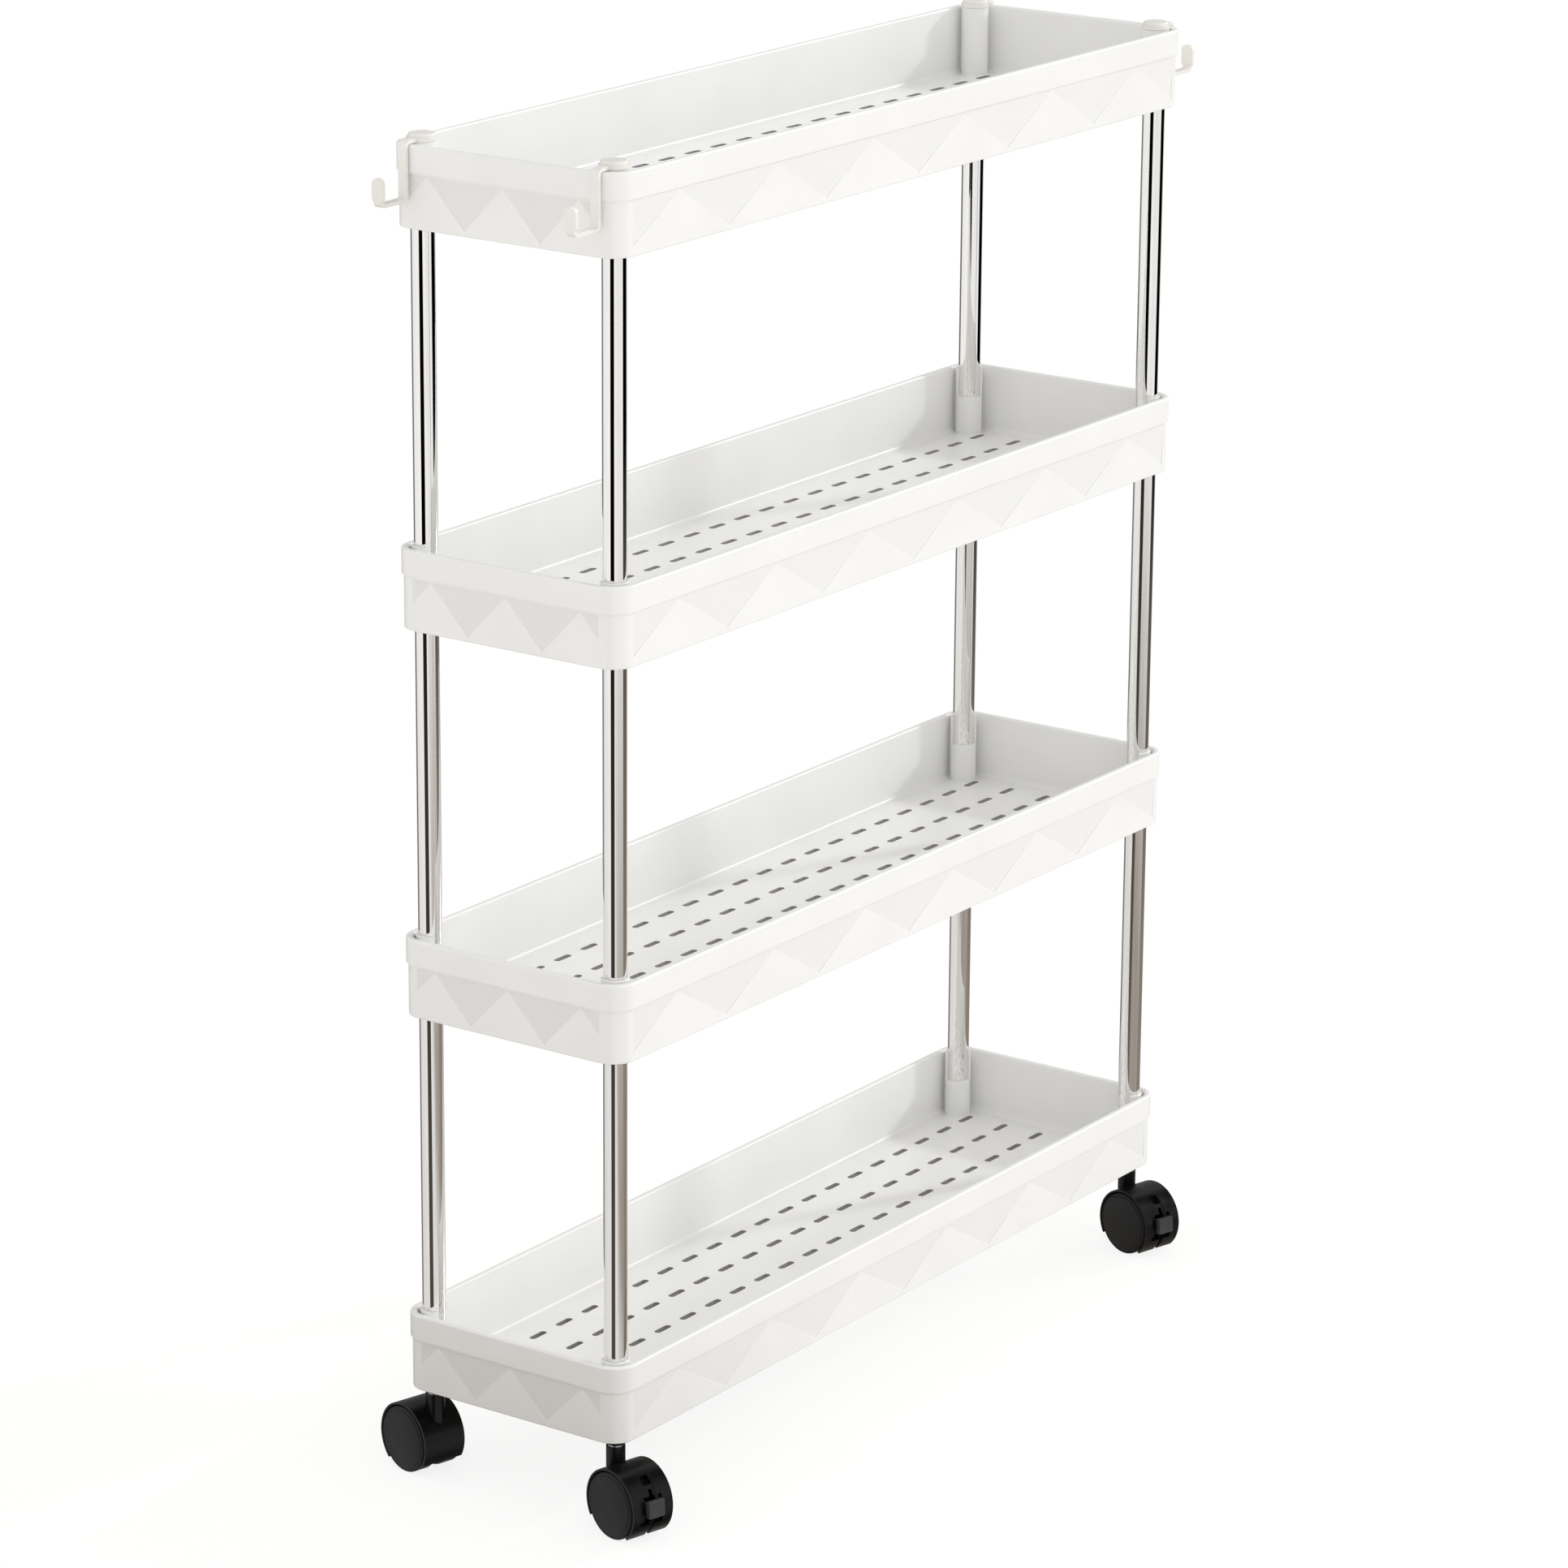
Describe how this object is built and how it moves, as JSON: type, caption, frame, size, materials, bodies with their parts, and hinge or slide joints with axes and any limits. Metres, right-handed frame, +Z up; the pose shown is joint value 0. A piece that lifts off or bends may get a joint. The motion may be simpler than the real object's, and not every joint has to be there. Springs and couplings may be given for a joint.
{
  "type": "rolling pantry cart",
  "caption": "Narrow rolling pantry cart: long shallow slotted trays stacked on slim tubes, with end hooks at the top and swivelling twin-wheel casters below.",
  "frame": {"origin": "on the floor under the middle of the cart", "axes": "+X along the trays, +Y from the front to the back, +Z up"},
  "size_m": [0.5966, 0.196, 0.7508],
  "materials": {
    "white_tray": "white injection-moulded polypropylene",
    "white_cap": "white moulded plastic",
    "white_hook": "white moulded plastic",
    "chromed_tube": "polished chrome plate",
    "stem_steel": "zinc-plated",
    "black_socket": "satin",
    "black_housing": "black moulded nylon",
    "black_wheel": "satin",
    "grey_hubcap": "satin",
    "grey_lever": "satin"
  },
  "bodies": {
    "cart": {"bottom_tray": "white_tray", "lower_middle_tray": "white_tray", "upper_middle_tray": "white_tray", "top_tray": "white_tray", "lower_tube_front_left": "chromed_tube", "lower_tube_front_right": "chromed_tube", "lower_tube_rear_left": "chromed_tube", "lower_tube_rear_right": "chromed_tube", "middle_tube_front_left": "chromed_tube", "middle_tube_front_right": "chromed_tube", "middle_tube_rear_left": "chromed_tube", "middle_tube_rear_right": "chromed_tube", "upper_tube_front_left": "chromed_tube", "upper_tube_front_right": "chromed_tube", "upper_tube_rear_left": "chromed_tube", "upper_tube_rear_right": "chromed_tube", "post_cap_front_left": "white_cap", "post_cap_front_right": "white_cap", "post_cap_rear_left": "white_cap", "post_cap_rear_right": "white_cap", "hook_front_left": "white_hook", "hook_front_right": "white_hook", "hook_rear_left": "white_hook", "hook_rear_right": "white_hook", "caster_socket_front_left": "black_socket", "caster_socket_front_right": "black_socket", "caster_socket_rear_left": "black_socket", "caster_socket_rear_right": "black_socket", "caster_stem_front_left": "stem_steel", "caster_stem_front_right": "stem_steel", "caster_stem_rear_left": "stem_steel", "caster_stem_rear_right": "stem_steel"},
    "caster_front_left": {"caster_housing_front_left": "black_housing", "caster_axle_front_left": "stem_steel"},
    "wheel_a_front_left": {"wheel_a_front_left": "black_wheel", "hubcap_a_front_left": "grey_hubcap"},
    "wheel_b_front_left": {"wheel_b_front_left": "black_wheel", "hubcap_b_front_left": "grey_hubcap"},
    "brake_front_left": {"brake_lever_front_left": "grey_lever"},
    "caster_front_right": {"caster_housing_front_right": "black_housing", "caster_axle_front_right": "stem_steel"},
    "wheel_a_front_right": {"wheel_a_front_right": "black_wheel", "hubcap_a_front_right": "grey_hubcap"},
    "wheel_b_front_right": {"wheel_b_front_right": "black_wheel", "hubcap_b_front_right": "grey_hubcap"},
    "brake_front_right": {"brake_lever_front_right": "grey_lever"},
    "caster_rear_left": {"caster_housing_rear_left": "black_housing", "caster_axle_rear_left": "stem_steel"},
    "wheel_a_rear_left": {"wheel_a_rear_left": "black_wheel", "hubcap_a_rear_left": "grey_hubcap"},
    "wheel_b_rear_left": {"wheel_b_rear_left": "black_wheel", "hubcap_b_rear_left": "grey_hubcap"},
    "brake_rear_left": {"brake_lever_rear_left": "grey_lever"},
    "caster_rear_right": {"caster_housing_rear_right": "black_housing", "caster_axle_rear_right": "stem_steel"},
    "wheel_a_rear_right": {"wheel_a_rear_right": "black_wheel", "hubcap_a_rear_right": "grey_hubcap"},
    "wheel_b_rear_right": {"wheel_b_rear_right": "black_wheel", "hubcap_b_rear_right": "grey_hubcap"},
    "brake_rear_right": {"brake_lever_rear_right": "grey_lever"}
  },
  "joints": [
    {"name": "swivel_front_left", "type": "hinge", "parent": "cart", "child": "caster_front_left", "pos_m": [-0.261, -0.062, 0.045], "axis": [0, 0, 1], "continuous": true},
    {"name": "roll_a_front_left", "type": "hinge", "parent": "caster_front_left", "child": "wheel_a_front_left", "pos_m": [-0.26411, -0.07359, 0.019], "axis": [0.9659, -0.2588, 0], "continuous": true},
    {"name": "roll_b_front_left", "type": "hinge", "parent": "caster_front_left", "child": "wheel_b_front_left", "pos_m": [-0.26411, -0.07359, 0.019], "axis": [0.9659, -0.2588, 0], "continuous": true},
    {"name": "brake_front_left", "type": "hinge", "parent": "caster_front_left", "child": "brake_front_left", "pos_m": [-0.26733, -0.08562, 0.02009], "axis": [0.9659, -0.2588, 0], "range_deg": [0, 12]},
    {"name": "swivel_front_right", "type": "hinge", "parent": "cart", "child": "caster_front_right", "pos_m": [0.261, -0.062, 0.045], "axis": [0, 0, 1], "continuous": true},
    {"name": "roll_a_front_right", "type": "hinge", "parent": "caster_front_right", "child": "wheel_a_front_right", "pos_m": [0.25789, -0.07359, 0.019], "axis": [0.9659, -0.2588, 0], "continuous": true},
    {"name": "roll_b_front_right", "type": "hinge", "parent": "caster_front_right", "child": "wheel_b_front_right", "pos_m": [0.25789, -0.07359, 0.019], "axis": [0.9659, -0.2588, 0], "continuous": true},
    {"name": "brake_front_right", "type": "hinge", "parent": "caster_front_right", "child": "brake_front_right", "pos_m": [0.25467, -0.08562, 0.02009], "axis": [0.9659, -0.2588, 0], "range_deg": [0, 12]},
    {"name": "swivel_rear_left", "type": "hinge", "parent": "cart", "child": "caster_rear_left", "pos_m": [-0.261, 0.062, 0.045], "axis": [0, 0, 1], "continuous": true},
    {"name": "roll_a_rear_left", "type": "hinge", "parent": "caster_rear_left", "child": "wheel_a_rear_left", "pos_m": [-0.25789, 0.07359, 0.019], "axis": [-0.9659, 0.2588, 0], "continuous": true},
    {"name": "roll_b_rear_left", "type": "hinge", "parent": "caster_rear_left", "child": "wheel_b_rear_left", "pos_m": [-0.25789, 0.07359, 0.019], "axis": [-0.9659, 0.2588, 0], "continuous": true},
    {"name": "brake_rear_left", "type": "hinge", "parent": "caster_rear_left", "child": "brake_rear_left", "pos_m": [-0.25467, 0.08562, 0.02009], "axis": [-0.9659, 0.2588, 0], "range_deg": [0, 12]},
    {"name": "swivel_rear_right", "type": "hinge", "parent": "cart", "child": "caster_rear_right", "pos_m": [0.261, 0.062, 0.045], "axis": [0, 0, 1], "continuous": true},
    {"name": "roll_a_rear_right", "type": "hinge", "parent": "caster_rear_right", "child": "wheel_a_rear_right", "pos_m": [0.26411, 0.07359, 0.019], "axis": [-0.9659, 0.2588, 0], "continuous": true},
    {"name": "roll_b_rear_right", "type": "hinge", "parent": "caster_rear_right", "child": "wheel_b_rear_right", "pos_m": [0.26411, 0.07359, 0.019], "axis": [-0.9659, 0.2588, 0], "continuous": true},
    {"name": "brake_rear_right", "type": "hinge", "parent": "caster_rear_right", "child": "brake_rear_right", "pos_m": [0.26733, 0.08562, 0.02009], "axis": [-0.9659, 0.2588, 0], "range_deg": [0, 12]}
  ]
}
